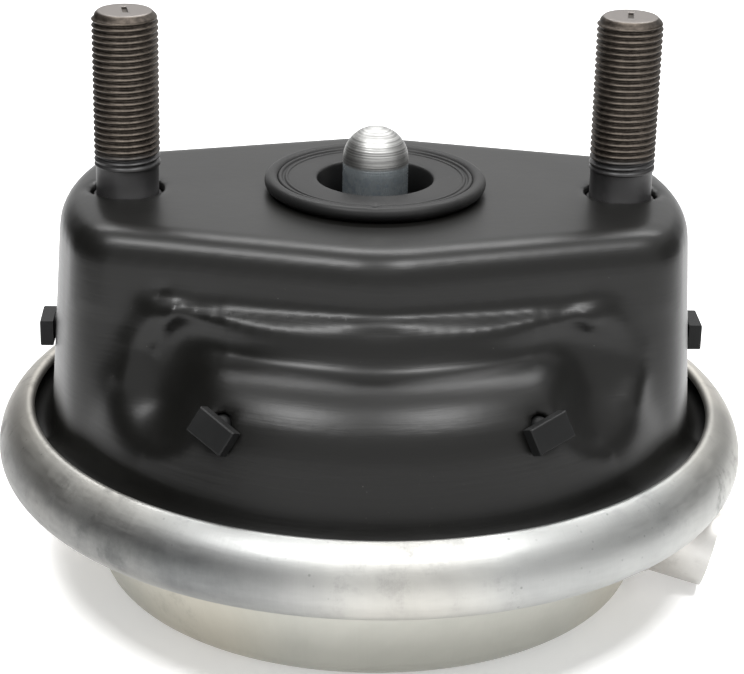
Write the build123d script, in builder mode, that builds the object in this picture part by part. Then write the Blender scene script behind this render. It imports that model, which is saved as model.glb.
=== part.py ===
from build123d import *
from math import asin, atan2, cos, degrees, radians, sin, sqrt, tan
import os

# Air brake chamber, type 24, for a disc brake caliper. Millimetres. Origin: centre of the
# mounting face, on the push rod's axis. +Z leaves the mounting face along the push rod, X runs
# through the two mounting studs.

# Pressed housing: a round drawn bowl, a wide plateau for the mounting face, and a step
# along each long side of the plateau
housing_sheet = 3.4
housing_depth = 61.7  # mounting face to the parting plane
draw_draft = 3.7  # degrees, walls of the plateau and of its step
plateau_half_width = 50.0
plateau_vee = 14.6  # degrees, each long side of the plateau falls away from its middle
plateau_end_r = 76.3
plateau_corner_r = 14.0
plateau_nose_r = 30.0
plateau_edge_r = 8.0
step_depth = 13.6
step_half_width = 54.0
step_vee = 18.0
step_reach = 62.0  # where the step has sunk into the plateau's own wall
step_edge_r = 5.4
bowl_top_depth = 25.4
bowl_shoulder_r = 18.8
bowl_floor_r = 57.0  # where the flat of the bowl ends and its shoulder starts
bowl_draft = 11.5
bowl_flare_r = 4.0
shelf_root_r = 3.4  # where the plateau and its step rise from the bowl
pocket_offset = 66.0  # four ball-shaped pockets, from both centre lines to a ball's centre
pocket_r = 29.0
pocket_depth = 22.0
pocket_rim_r = 3.0

# Pressure cup, the air side
cup_sheet = 3.0
cup_floor_r = 62.7
cup_corner_r = 5.7
cup_draft = 14.0
cup_flare_r = 4.0

# Diaphragm, clamped between the two rims
diaphragm_sheet = 3.4
diaphragm_gap = 0.6  # to the cup's wall and floor
diaphragm_corner_r = 6.0

# Rolled clamp ring
ring_sheet = 2.8
ring_stand = 17.5  # outermost radius less the bowl's, where the crown meets the belly
ring_drop = 2.8  # that level, below the housing's parting plane
ring_crown_r = 12.3  # outside radius of the section's upper part
ring_belly_r = 7.2  # outside radius of its lower part
ring_lip_angle = 70.5  # degrees above that level where the upper lip ends
ring_tuck_angle = 104.0  # degrees below it where the lower lip ends
rim_clearance = 0.15

# Studs and their plate, M16 x 1.5
stud_spacing = 120.65
stud_d = 16.0
stud_reach = 44.1
stud_neck_d = 14.8
stud_neck_height = 6.0
stud_point = 1.6
stud_collar_d = 16.0  # locating collar on the mounting face
stud_collar_height = 1.4
stud_press_d = 16.6  # pressed through the plate and the sheet
stud_head_d = 24.0
stud_head_height = 5.5
stud_press = 0.02
stud_plate_thickness = 5.0
stud_plate_margin = 1.0
hole_clearance = 0.25
part_gap = 0.1  # between faces of pieces that only rest on each other

# Face seal in the push rod's opening
seal_r = 27.05
seal_height = 3.2
seal_bead_r = 1.7
seal_inner_bead_r = 0.8
seal_groove_r = 24.7
seal_groove_height = 2.2
seal_bore_r = 14.17
seal_neck_wall = 3.5
seal_snap = 2.6
seal_snap_height = 2.0
seal_tail = 4.6

# Push rod with a ball end, its socket and the push plate
rod_d = 16.0
rod_reach = 15.9  # tip above the mounting face, chamber empty
ball_d = 18.0
ball_gap = 0.2
rod_neck_d = 12.8
rod_neck_length = 9.5
rod_cone = 2.0
ball_drop = 16.3  # ball centre below the housing's parting plane, chamber empty
socket_r = 13.0
socket_rise = 7.8  # socket's mouth above the ball's centre
socket_floor = 1.3
retainer_bore_r = 7.5
retainer_height = 1.4
retainer_lift = 5.5
retainer_bite = 1.0  # how far the retainer's groove goes into the socket's wall
retainer_gap = 0.1
push_plate_r = 47.0
push_plate_sheet = 3.0
push_plate_curl = 2.6
push_plate_curl_r = 4.6

# Return spring and its seat, and the bellows round the rod
wire_d = 4.0
spring_top_r = 37.0
spring_foot_r = 27.5
spring_turns = 4.5
seat_sheet = 2.0
seat_r = 41.5
seat_lip = 4.0
bellows_out_r = 22.0
bellows_in_r = 16.6
bellows_wall = 1.5
bellows_folds = 6
bellows_cuff = 5.0
bellows_cuff_wall = 2.6
clip_wall = 1.2
clip_width = 2.4

# Air port boss, M16 x 1.5, welded to the cup
port_azimuth = -11.5
port_tilt = 13.0  # degrees below the horizontal
port_reach = 25.4  # end of the boss from the edge of the cup's floor
port_rise = 11.1  # end of the boss above the cup's bottom
port_r = 11.2
port_bore_r = 7.25
port_thread_length = 13.0
port_passage_r = 4.5
port_weld_r = 14.4
port_weld_length = 4.5

# Drain caps in the housing's wall
cap_depth = 36.5
cap_width = 10.6
cap_height = 6.4
cap_thickness = 3.3
cap_edge_r = 0.5
cap_stem_r = 2.9
cap_barb_r = 4.0
cap_barb = 1.8
cap_seat_gap = 0.15
cap_azimuths = {
    "right": 0,
    "back_right": 60,
    "back_left": 120,
    "left": 180,
    "front_left": 240,
    "front_right": 300,
}
cap_turns = {"front_left": -23.6, "front_right": 14.0}  # degrees, as they were pushed in

# Derived places
stud_x = stud_spacing / 2
stud_plate_z = -housing_sheet - stud_plate_thickness
seal_neck_r = seal_bore_r + seal_neck_wall
seal_snap_r = seal_neck_r + seal_snap
seal_snap_z = stud_plate_z - seal_snap_height
seal_tail_z = seal_snap_z - seal_tail
spring_top = stud_plate_z - seat_sheet
wall_lean = radians(draw_draft)
housing_side_inset = housing_sheet * (1 - sin(wall_lean)) / cos(wall_lean)

rim_top_depth = housing_depth - housing_sheet
cup_parting = -housing_depth - diaphragm_sheet
ring_depth = housing_depth + ring_drop
ring_r = bowl_floor_r + bowl_shoulder_r + ring_stand
crown_x = ring_r - ring_crown_r
belly_x = ring_r - ring_belly_r
crown_inner_r = ring_crown_r - ring_sheet
belly_inner_r = ring_belly_r - ring_sheet
rim_r = crown_x + sqrt((crown_inner_r - rim_clearance) ** 2 - (ring_depth - rim_top_depth) ** 2)

ball_r = ball_d / 2
ball_depth = housing_depth + ball_drop
socket_bore_r = ball_r + ball_gap
push_plate_z = -ball_depth - socket_bore_r - socket_floor  # top of the push plate
diaphragm_z = push_plate_z - push_plate_sheet - part_gap
diaphragm_floor_z = diaphragm_z - diaphragm_sheet
cup_bottom = diaphragm_floor_z - diaphragm_gap - cup_sheet
port_end_r = cup_floor_r + port_reach
port_end_z = cup_bottom + port_rise
cuff_r = socket_r + part_gap


def drawn_section(inset, sheet, depth, floor_r, shoulder_r, draft, flare_r):
    # Half section of a drawn bowl: floor on the x axis, parting plane at y = depth. With inset 0
    # it is the outside with its rim, with inset = sheet it is the hollow.
    lean = radians(draft)
    wall_start_x = floor_r + shoulder_r * cos(lean)
    wall_start_y = shoulder_r - shoulder_r * sin(lean)
    flare_y = depth - sheet - flare_r
    flare_x = wall_start_x + (flare_r + (flare_y - wall_start_y) * sin(lean)) / cos(lean)
    with BuildSketch(Plane.XY) as section:
        with BuildLine():
            shoulder = CenterArc((floor_r, shoulder_r), shoulder_r - inset, -90, 90 - draft)
            flare = CenterArc((flare_x, flare_y), flare_r + inset, 180 - draft, draft - 90)
            Line(shoulder @ 1, flare @ 0)
            if inset:
                Polyline(flare @ 1, (0, depth), (0, inset), shoulder @ 0)
            else:
                Polyline(flare @ 1, (rim_r, depth - sheet), (rim_r, depth), (0, depth))
                Polyline((0, depth), (0, 0), shoulder @ 0)
        make_face()
    return section.sketch


def bowl_form(inset):
    opening_down = Plane((0, 0, -bowl_top_depth), x_dir=(1, 0, 0), z_dir=(0, 1, 0))
    depth = housing_depth - bowl_top_depth
    curves = (bowl_floor_r, bowl_shoulder_r, bowl_draft, bowl_flare_r)
    with BuildPart() as bowl:
        with BuildSketch(opening_down):
            add(drawn_section(inset, housing_sheet, depth, *curves))
        revolve(axis=Axis.Z)
    return bowl.part


def vee_points(half_width, vee, reach):
    end_y = half_width - reach * tan(radians(vee))
    right = [(0, -half_width), (reach, -end_y), (reach, end_y)]
    return right + [(-x, -y) for x, y in right]


def plateau_outline(inset):
    # Double vee cut off by a round end on each side, at the level of the mounting face
    side_inset = inset / cos(radians(plateau_vee))
    with BuildSketch() as outline:
        Circle(plateau_end_r - inset)
        with BuildLine():
            Polyline(*vee_points(plateau_half_width - side_inset, plateau_vee, plateau_end_r), close=True)
        make_face(mode=Mode.INTERSECT)
        fillet(outline.vertices().filter_by(lambda v: abs(v.X) > 1), radius=plateau_corner_r - inset)
        fillet(outline.vertices().filter_by(lambda v: abs(v.X) < 1), radius=plateau_nose_r - inset)
    return outline.sketch


def housing_form(inset):
    # The pressing's outside for inset 0, its hollow for inset = sheet
    side_inset = housing_side_inset if inset else 0
    foot_depth = housing_depth if inset else rim_top_depth + housing_sheet / 2
    with BuildPart() as plateau:
        with BuildSketch(Plane.XY.offset(-inset)):
            add(plateau_outline(side_inset))
        extrude(amount=-(foot_depth - inset), taper=-draw_draft)
        fillet(plateau.faces().sort_by(Axis.Z)[-1].edges(), radius=plateau_edge_r - inset)
    with BuildPart() as step:
        with BuildSketch(Plane.XY.offset(-step_depth - inset)) as outline:
            half_width = step_half_width - side_inset / cos(radians(step_vee))
            with BuildLine():
                Polyline(*vee_points(half_width, step_vee, step_reach - inset), close=True)
            make_face()
            fillet(outline.vertices().filter_by(lambda v: abs(v.X) < 1), radius=plateau_nose_r - inset)
        extrude(amount=-(bowl_top_depth + bowl_shoulder_r - step_depth - inset), taper=-draw_draft)
        ridge = step.faces().sort_by(Axis.Z)[-1].edges().filter_by(Axis.Y, reverse=True)
        fillet(ridge, radius=step_edge_r - inset)
    shoulder_depth = bowl_top_depth + bowl_shoulder_r
    with BuildPart() as form:
        add(plateau.part)
        add(step.part)
        add(bowl_form(inset))
        shelf_roots = form.edges(Select.NEW).filter_by_position(Axis.Z, -shoulder_depth, -step_depth)
        fillet(shelf_roots, radius=shelf_root_r + inset)
        with Locations((0, 0, -pocket_depth)), GridLocations(2 * pocket_offset, 2 * pocket_offset, 2, 2):
            Sphere(pocket_r + inset, mode=Mode.SUBTRACT)
        if not inset:
            fillet(form.edges(Select.NEW), radius=pocket_rim_r)
    return form.part


def radial_plane(azimuth, distance):
    # Upright plane facing outward at the drain caps' height
    turn = radians(azimuth)
    outward = Vector(cos(turn), sin(turn), 0)
    place = outward * distance - Vector(0, 0, cap_depth)
    return Plane(place, x_dir=(-sin(turn), cos(turn), 0), z_dir=outward)


def finish(piece, name):
    piece.part.label = name
    export_step(piece.part, f"parts/{name}.step")


os.makedirs("parts", exist_ok=True)

with BuildPart() as mounting_housing:
    add(housing_form(0))
    add(housing_form(housing_sheet), mode=Mode.SUBTRACT)
    with BuildSketch():
        Circle(seal_neck_r + hole_clearance)
        with Locations((-stud_x, 0), (stud_x, 0)):
            Circle(stud_press_d / 2 + hole_clearance)
    extrude(amount=-housing_sheet * 2, mode=Mode.SUBTRACT)
    for azimuth in cap_azimuths.values():
        with BuildSketch(radial_plane(azimuth, bowl_floor_r)):
            Circle(cap_stem_r + hole_clearance)
        extrude(amount=bowl_floor_r, mode=Mode.SUBTRACT)
finish(mounting_housing, "mounting_housing")


with BuildPart() as stud_plate:
    with BuildSketch(Plane.XY.offset(stud_plate_z)):
        add(plateau_outline(housing_side_inset + stud_plate_margin))
        Circle(seal_neck_r + hole_clearance, mode=Mode.SUBTRACT)
        with Locations((-stud_x, 0), (stud_x, 0)):
            Circle(stud_press_d / 2 + stud_press, mode=Mode.SUBTRACT)
    extrude(amount=stud_plate_thickness)
    upper_rim = stud_plate.faces().sort_by(Axis.Z)[-1].outer_wire().edges()
    fillet(upper_rim, radius=min(plateau_edge_r - housing_sheet, stud_plate_thickness - stud_point))
finish(stud_plate, "stud_plate")


def mounting_stud(x):
    # Head under the plate, pressed collar through plate and housing, plain neck, threaded shank
    head_r = stud_head_d / 2
    press_r = stud_press_d / 2
    collar_r = stud_collar_d / 2
    neck_r = stud_neck_d / 2
    crest_r = stud_d / 2
    head_z = stud_plate_z - stud_head_height
    with BuildPart() as stud:
        with BuildSketch(Plane((x, 0, 0), x_dir=(1, 0, 0), z_dir=(0, -1, 0))):
            with BuildLine():
                Polyline(
                    (0, head_z),
                    (head_r - stud_point, head_z),
                    (head_r, head_z + stud_point),
                    (head_r, stud_plate_z),
                    (press_r, stud_plate_z),
                    (press_r, 0),
                    (collar_r, 0),
                    (collar_r, stud_collar_height),
                    (neck_r, stud_collar_height),
                    (neck_r, stud_neck_height),
                    (crest_r, stud_neck_height + crest_r - neck_r),
                    (crest_r, stud_reach - stud_point),
                    (crest_r - stud_point, stud_reach),
                    (0, stud_reach),
                    close=True,
                )
            make_face()
        revolve(axis=Axis((x, 0, 0), (0, 0, 1)))
    return stud


finish(mounting_stud(-stud_x), "left_stud")
finish(mounting_stud(stud_x), "right_stud")

with BuildPart() as face_seal:
    with BuildSketch(Plane.XZ):
        with BuildLine():
            bead_r = seal_r - seal_bead_r
            Polyline(
                (seal_bore_r, seal_tail_z),
                (seal_neck_r, seal_tail_z),
                (seal_neck_r, seal_snap_z),
                (seal_snap_r, stud_plate_z - seal_snap_height / 2),
                (seal_snap_r, stud_plate_z),
                (seal_neck_r, stud_plate_z),
                (seal_neck_r, 0),
                (bead_r, 0),
                (seal_r - seal_bead_r / 4, seal_groove_height - seal_bead_r / 2),
                (bead_r, seal_groove_height),
                (seal_groove_r, seal_groove_height),
                (seal_groove_r - 2 * seal_inner_bead_r, seal_height),
                (seal_bore_r, seal_height),
                close=True,
            )
        make_face()
        with Locations((bead_r, seal_groove_height)):
            Circle(seal_bead_r)
        with Locations((seal_groove_r - seal_inner_bead_r, seal_height - seal_inner_bead_r / 2)):
            Circle(seal_inner_bead_r)
    revolve(axis=Axis.Z)
finish(face_seal, "face_seal")

with BuildPart() as spring_seat:
    # Pressed cup washer that centres the spring's large end
    with BuildSketch(Plane.XZ):
        with BuildLine():
            inner_r = seal_snap_r + hole_clearance
            Polyline(
                (inner_r, stud_plate_z),
                (seat_r, stud_plate_z),
                (seat_r, stud_plate_z - seat_sheet - seat_lip),
                (seat_r - seat_sheet, stud_plate_z - seat_sheet - seat_lip),
                (seat_r - seat_sheet, stud_plate_z - seat_sheet),
                (inner_r, stud_plate_z - seat_sheet),
                close=True,
            )
        seat_section = make_face()
        outer_corner = seat_section.vertices().sort_by(Axis.X)[-2:].sort_by(Axis.Z)[-1]
        fillet(outer_corner, radius=seat_sheet)
    revolve(axis=Axis.Z)
finish(spring_seat, "spring_seat")

with BuildPart() as return_spring:
    wire_r = wire_d / 2
    coil_foot = push_plate_z + wire_r + part_gap
    coil_height = spring_top - wire_r - part_gap - coil_foot
    with BuildLine() as coil:
        cone = degrees(atan2(spring_top_r - spring_foot_r, coil_height))
        pitch = coil_height / spring_turns
        Helix(pitch, coil_height, spring_foot_r, center=(0, 0, coil_foot), cone_angle=cone)
    with BuildSketch(Plane(origin=coil.line @ 0, z_dir=coil.line % 0)):
        Circle(wire_r)
    sweep(is_frenet=True)
finish(return_spring, "return_spring")

with BuildPart() as rod_bellows:
    # Cuff round the seal's tail, folds, cuff round the rod socket
    top_z = seal_snap_z - part_gap
    foot_z = -ball_depth - bellows_cuff / 2
    folds_top = top_z - bellows_cuff
    folds_foot = foot_z + bellows_cuff
    pitch = (folds_top - folds_foot) / bellows_folds
    ridges = []
    for half_fold in range(1, 2 * bellows_folds):
        fold_r = bellows_out_r if half_fold % 2 else bellows_in_r
        ridges.append((fold_r, folds_top - half_fold * pitch / 2))
    upper_r = seal_neck_r + part_gap
    with BuildSketch(Plane.XZ):
        with BuildLine():
            inside = [(r - bellows_wall, z) for r, z in reversed(ridges)]
            Polyline(
                (upper_r, top_z),
                (upper_r + bellows_cuff_wall, top_z),
                (upper_r + bellows_cuff_wall, folds_top),
                *ridges,
                (cuff_r + bellows_cuff_wall, folds_foot),
                (cuff_r + bellows_cuff_wall, foot_z),
                (cuff_r, foot_z),
                (cuff_r, folds_foot),
                *inside,
                (upper_r, folds_top),
                close=True,
            )
        make_face()
    revolve(axis=Axis.Z)
finish(rod_bellows, "rod_bellows")

with BuildPart() as bellows_clip:
    clip_r = cuff_r + bellows_cuff_wall
    with BuildSketch(Plane.XY.offset(-ball_depth - clip_width / 2)):
        Circle(clip_r + clip_wall)
        Circle(clip_r, mode=Mode.SUBTRACT)
    extrude(amount=clip_width)
finish(bellows_clip, "bellows_clip")

with BuildPart() as push_rod:
    # Ball end, slim neck, shank and domed tip
    rod_r = rod_d / 2
    neck_r = rod_neck_d / 2
    with BuildSketch(Plane.XZ):
        with BuildLine():
            ball = CenterArc((0, -ball_depth), ball_r, -90, 180 - degrees(asin(neck_r / ball_r)))
            dome = CenterArc((0, rod_reach - rod_r), rod_r, 0, 90)
            cone_z = rod_neck_length - ball_depth
            Polyline(ball @ 1, (neck_r, cone_z), (rod_r, cone_z + rod_cone), dome @ 0)
            Line(dome @ 1, ball @ 0)
        make_face()
    revolve(axis=Axis.Z)
finish(push_rod, "push_rod")

with BuildPart() as rod_socket:
    groove_z = retainer_lift - retainer_gap - ball_depth
    groove_top = groove_z + retainer_height + 2 * retainer_gap
    groove_r = socket_bore_r + retainer_bite
    with BuildSketch(Plane.XZ):
        with BuildLine():
            seat = CenterArc((0, -ball_depth), socket_bore_r, -90, 90)
            Polyline(
                seat @ 1,
                (socket_bore_r, groove_z),
                (groove_r, groove_z),
                (groove_r, groove_top),
                (socket_bore_r, groove_top),
                (socket_bore_r, socket_rise - ball_depth),
                (socket_r, socket_rise - ball_depth),
                (socket_r, push_plate_z),
                (0, push_plate_z),
                seat @ 0,
            )
        make_face()
    revolve(axis=Axis.Z)
finish(rod_socket, "rod_socket")

with BuildPart() as rod_retainer:
    # Split spring ring that keeps the ball in its socket
    with BuildSketch(Plane.XY.offset(retainer_lift - ball_depth)):
        Circle(groove_r - retainer_gap)
        Circle(retainer_bore_r, mode=Mode.SUBTRACT)
        with Locations((groove_r, 0)):
            Rectangle(groove_r, retainer_height, mode=Mode.SUBTRACT)
    extrude(amount=retainer_height)
finish(rod_retainer, "rod_retainer")

with BuildPart() as pressure_plate:
    # Flat stamping with its edge turned up
    plate_bottom = push_plate_z - push_plate_sheet
    flat_r = push_plate_r - push_plate_curl_r
    inner_curl_r = push_plate_curl_r - push_plate_sheet
    curl_top = push_plate_z + push_plate_curl
    with BuildSketch(Plane.XZ):
        with BuildLine():
            curl_centre = (flat_r, plate_bottom + push_plate_curl_r)
            outer_curl = CenterArc(curl_centre, push_plate_curl_r, -90, 90)
            inner_curl = CenterArc(curl_centre, inner_curl_r, 0, -90)
            edge = [(push_plate_r, curl_top), (flat_r + inner_curl_r, curl_top)]
            Polyline(outer_curl @ 1, *edge, inner_curl @ 0)
            Polyline(inner_curl @ 1, (0, push_plate_z), (0, plate_bottom), outer_curl @ 0)
        make_face()
    revolve(axis=Axis.Z)
finish(pressure_plate, "pressure_plate")


def cup_plane(z):
    return Plane((0, 0, z), x_dir=(1, 0, 0), z_dir=(0, -1, 0))


with BuildPart() as diaphragm:
    # Its wall lies along the cup's wall, its floor under the push plate
    lean = radians(cup_draft)
    lift = diaphragm_gap + cup_sheet
    step_in = lift + diaphragm_corner_r - cup_corner_r
    step_in += (cup_corner_r - diaphragm_corner_r - lift) * sin(lean)
    shape = (
        diaphragm_sheet,
        -housing_depth - diaphragm_floor_z,
        cup_floor_r - step_in / cos(lean),
        diaphragm_corner_r,
        cup_draft,
        cup_flare_r + cup_sheet + diaphragm_gap,
    )
    with BuildSketch(cup_plane(diaphragm_floor_z)):
        add(drawn_section(0, *shape))
        add(drawn_section(diaphragm_sheet, *shape), mode=Mode.SUBTRACT)
    revolve(axis=Axis.Z)
finish(diaphragm, "diaphragm")

cup_height = cup_parting - cup_bottom
cup_shape = (cup_sheet, cup_height, cup_floor_r, cup_corner_r, cup_draft, cup_flare_r)
with BuildPart() as cup_outside:
    with BuildSketch(cup_plane(cup_bottom)):
        add(drawn_section(0, *cup_shape))
    revolve(axis=Axis.Z)

port_lean = radians(port_tilt)
port_turn = radians(port_azimuth)
port_outward = Vector(cos(port_turn), sin(port_turn), 0)
port_axis = port_outward * cos(port_lean) - Vector(0, 0, sin(port_lean))
port_end = port_outward * port_end_r + Vector(0, 0, port_end_z)
port_face = Plane(port_end, z_dir=port_axis)
# Where the port's axis meets the cup's leaning wall
cup_lean = radians(cup_draft)
wall_r = cup_floor_r + cup_corner_r * cos(cup_lean)
wall_z = cup_bottom + cup_corner_r * (1 - sin(cup_lean))
port_run = port_end_r - wall_r - (port_end_z - wall_z) * tan(cup_lean)
port_run /= cos(port_lean) + sin(port_lean) * tan(cup_lean)

with BuildPart() as pressure_cup:
    add(cup_outside.part)
    with BuildSketch(cup_plane(cup_bottom)):
        add(drawn_section(cup_sheet, *cup_shape))
    revolve(axis=Axis.Z, mode=Mode.SUBTRACT)
    with BuildSketch(port_face.offset(-port_run - port_bore_r)):
        Circle(port_passage_r)
    extrude(amount=2 * port_bore_r, mode=Mode.SUBTRACT)
finish(pressure_cup, "pressure_cup")

with BuildPart() as port_boss:
    sideways = Vector(-sin(port_turn), cos(port_turn), 0)
    with BuildSketch(Plane(port_end, x_dir=sideways, z_dir=sideways.cross(port_axis))):
        with BuildLine():
            Polyline(
                (0, 0),
                (port_r, 0),
                (port_r, port_weld_length - port_run),
                (port_weld_r, -port_run),
                (port_weld_r, -port_run - port_r),
                (0, -port_run - port_r),
                close=True,
            )
        make_face()
    revolve(axis=Axis(port_end, port_axis))
    add(cup_outside.part, mode=Mode.SUBTRACT)
    with BuildSketch(port_face):
        Circle(port_bore_r)
    extrude(amount=-port_thread_length, mode=Mode.SUBTRACT)
    with BuildSketch(port_face):
        Circle(port_passage_r)
    extrude(amount=-port_run - port_r, mode=Mode.SUBTRACT)
finish(port_boss, "port_boss")

with BuildPart() as clamp_ring:
    # Rolled section that holds both rims and the diaphragm's bead together
    with BuildSketch(Plane.XZ) as ring_section:
        with BuildLine():
            outer_crown = CenterArc((crown_x, -ring_depth), ring_crown_r, 0, ring_lip_angle)
            inner_crown = CenterArc((crown_x, -ring_depth), crown_inner_r, 0, ring_lip_angle)
            outer_belly = CenterArc((belly_x, -ring_depth), ring_belly_r, 0, -ring_tuck_angle)
            inner_belly = CenterArc((belly_x, -ring_depth), belly_inner_r, 0, -ring_tuck_angle)
            Line(outer_crown @ 1, inner_crown @ 1)
            Line(outer_belly @ 1, inner_belly @ 1)
        make_face()
        lips = ring_section.vertices().filter_by(lambda v: abs(v.Y + ring_depth) > ring_sheet)
        fillet(lips, radius=ring_sheet * 0.4)
    revolve(axis=Axis.Z)
finish(clamp_ring, "clamp_ring")


def drain_cap(azimuth, turn):
    # Head outside the wall, stem through it, barb behind it
    low_depth = cap_depth + cap_height / 2
    high_depth = cap_depth - cap_barb_r
    height = bowl_shoulder_r + bowl_top_depth - high_depth
    seat = bowl_floor_r + bowl_shoulder_r
    grip = bowl_floor_r + sqrt((bowl_shoulder_r - housing_sheet) ** 2 - height**2)
    if azimuth % 180 == 0:
        end_inner_r = plateau_end_r - housing_side_inset
        seat = max(seat, plateau_end_r + low_depth * tan(wall_lean))
        grip = max(grip, end_inner_r + (high_depth - housing_sheet) * tan(wall_lean))
    head_plane = radial_plane(azimuth, seat + cap_seat_gap)
    grip_plane = radial_plane(azimuth, grip - cap_seat_gap)
    with BuildPart() as cap:
        with BuildSketch(head_plane):
            Rectangle(cap_width, cap_height, rotation=turn)
        extrude(amount=cap_thickness)
        outer_face = cap.faces().sort_by(Axis(head_plane.origin, head_plane.z_dir))[-1]
        fillet(outer_face.edges(), radius=cap_edge_r)
        with BuildSketch(grip_plane):
            Circle(cap_stem_r)
        extrude(amount=seat + cap_seat_gap + cap_edge_r - grip + cap_seat_gap)
        with BuildSketch(grip_plane):
            Circle(cap_barb_r)
        extrude(amount=-cap_barb, taper=20)
    return cap


for place, azimuth in cap_azimuths.items():
    finish(drain_cap(azimuth, cap_turns.get(place, 0)), f"drain_cap_{place}")
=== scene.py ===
import math

import bmesh
import bpy
from mathutils import Matrix, Vector, noise
from mathutils.bvhtree import BVHTree


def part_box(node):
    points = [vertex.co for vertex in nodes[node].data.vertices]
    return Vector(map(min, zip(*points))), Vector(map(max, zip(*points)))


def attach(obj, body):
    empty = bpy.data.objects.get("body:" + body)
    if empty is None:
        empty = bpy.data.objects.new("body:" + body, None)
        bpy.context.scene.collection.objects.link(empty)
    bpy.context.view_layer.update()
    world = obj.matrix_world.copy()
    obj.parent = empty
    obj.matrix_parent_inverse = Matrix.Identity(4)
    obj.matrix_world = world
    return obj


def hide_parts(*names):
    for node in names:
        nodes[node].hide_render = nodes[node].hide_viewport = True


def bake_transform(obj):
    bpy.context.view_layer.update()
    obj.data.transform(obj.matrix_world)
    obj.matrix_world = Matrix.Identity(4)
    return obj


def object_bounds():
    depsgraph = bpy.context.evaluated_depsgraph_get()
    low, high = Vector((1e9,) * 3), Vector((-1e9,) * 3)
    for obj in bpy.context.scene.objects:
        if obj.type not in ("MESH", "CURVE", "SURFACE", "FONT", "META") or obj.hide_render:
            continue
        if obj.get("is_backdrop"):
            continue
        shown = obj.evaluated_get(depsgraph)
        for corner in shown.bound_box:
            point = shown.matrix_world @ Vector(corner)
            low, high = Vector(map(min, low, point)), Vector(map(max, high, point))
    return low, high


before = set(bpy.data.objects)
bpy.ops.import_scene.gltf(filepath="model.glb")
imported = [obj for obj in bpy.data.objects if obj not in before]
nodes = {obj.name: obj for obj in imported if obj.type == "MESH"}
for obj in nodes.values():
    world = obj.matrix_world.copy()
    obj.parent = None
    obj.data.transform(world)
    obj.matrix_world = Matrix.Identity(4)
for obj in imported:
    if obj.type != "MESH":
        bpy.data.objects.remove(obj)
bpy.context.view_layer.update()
mm = 0.001
print("frame loaded:", len(nodes), "nodes")


# Shader tools

class Wire:
    # One shader socket. Arithmetic on it adds Math nodes to its material.
    def __init__(self, paint, socket):
        self.paint = paint
        self.socket = socket

    def calc(self, operation, first, second=None, clamp=False):
        values = [first] if second is None else [first, second]
        settings = {"operation": operation, "use_clamp": clamp}
        return self.paint.node("Math", settings, dict(enumerate(values)))

    def __add__(self, other):
        return self.calc("ADD", self, other)

    def __radd__(self, other):
        return self.calc("ADD", other, self)

    def __sub__(self, other):
        return self.calc("SUBTRACT", self, other)

    def __rsub__(self, other):
        return self.calc("SUBTRACT", other, self)

    def __mul__(self, other):
        return self.calc("MULTIPLY", self, other)

    def __rmul__(self, other):
        return self.calc("MULTIPLY", other, self)

    def __pow__(self, other):
        return self.calc("POWER", self, other)

    def clamped(self):
        return self.calc("ADD", self, 0.0, clamp=True)


class Paint:
    # A material whose nodes are made by one method
    def __init__(self, name, metallic=0.0, roughness=0.5, specular=0.5):
        self.material = bpy.data.materials.new(name)
        self.material.use_nodes = True
        self.tree = self.material.node_tree
        self.shader = next(n for n in self.tree.nodes if n.type == "BSDF_PRINCIPLED")
        self.shader.inputs["Metallic"].default_value = metallic
        self.shader.inputs["Roughness"].default_value = roughness
        self.shader.inputs["Specular IOR Level"].default_value = specular
        self.place = self.node("TexCoord", {}, {}, "Object")
        self.x, self.y, self.z = self.split(self.place)

    def node(self, kind, settings=None, sockets=None, output=0):
        made = self.tree.nodes.new("ShaderNode" + kind)
        for name, value in (settings or {}).items():
            if name == "stops":
                ramp = made.color_ramp
                while len(ramp.elements) < len(value):
                    ramp.elements.new(0.5)
                for element, (position, colour) in zip(ramp.elements, value):
                    element.position = position
                    element.color = colour if len(colour) == 4 else (*colour, 1)
            else:
                setattr(made, name, value)
        for key, value in (sockets or {}).items():
            if isinstance(value, Wire):
                self.tree.links.new(value.socket, made.inputs[key])
            else:
                made.inputs[key].default_value = value
        return Wire(self, made.outputs[output])

    def split(self, vector):
        first = self.node("SeparateXYZ", {}, {0: vector})
        outputs = first.socket.node.outputs
        return [Wire(self, outputs[i]) for i in range(3)]

    def vector(self, x, y, z):
        return self.node("CombineXYZ", {}, {0: x, 1: y, 2: z})

    def stretched(self, sx, sy, sz):
        return self.node("Mapping", {}, {"Vector": self.place, "Scale": (sx, sy, sz)})

    def cloud(self, scale, detail=4.0, roughness=0.55, place=None, distortion=0.0):
        sockets = {"Vector": place or self.place, "Scale": scale, "Detail": detail,
                   "Roughness": roughness, "Distortion": distortion}
        return self.node("TexNoise", {}, sockets, "Fac")

    def specks(self, scale):
        return self.node("TexVoronoi", {}, {"Vector": self.place, "Scale": scale}, "Distance")

    def between(self, value, low, high):
        # 0 below low, 1 above high, smooth in between
        return self.node("MapRange", {"interpolation_type": "SMOOTHSTEP"},
                         {"Value": value, "From Min": low, "From Max": high})

    def colour(self, factor, first, second):
        first = first if isinstance(first, Wire) else (*first, 1)
        second = second if isinstance(second, Wire) else (*second, 1)
        return self.node("Mix", {"data_type": "RGBA"}, {0: factor, 6: first, 7: second}, 2)

    def bumps(self, height, distance, strength=1.0, normal=None):
        sockets = {"Height": height, "Distance": distance, "Strength": strength}
        if normal:
            sockets["Normal"] = normal
        return self.node("Bump", {}, sockets)

    def set(self, **links):
        for name, value in links.items():
            self.tree.links.new(value.socket, self.shader.inputs[name.replace("_", " ")])
        return self.material


# Finishes

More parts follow.
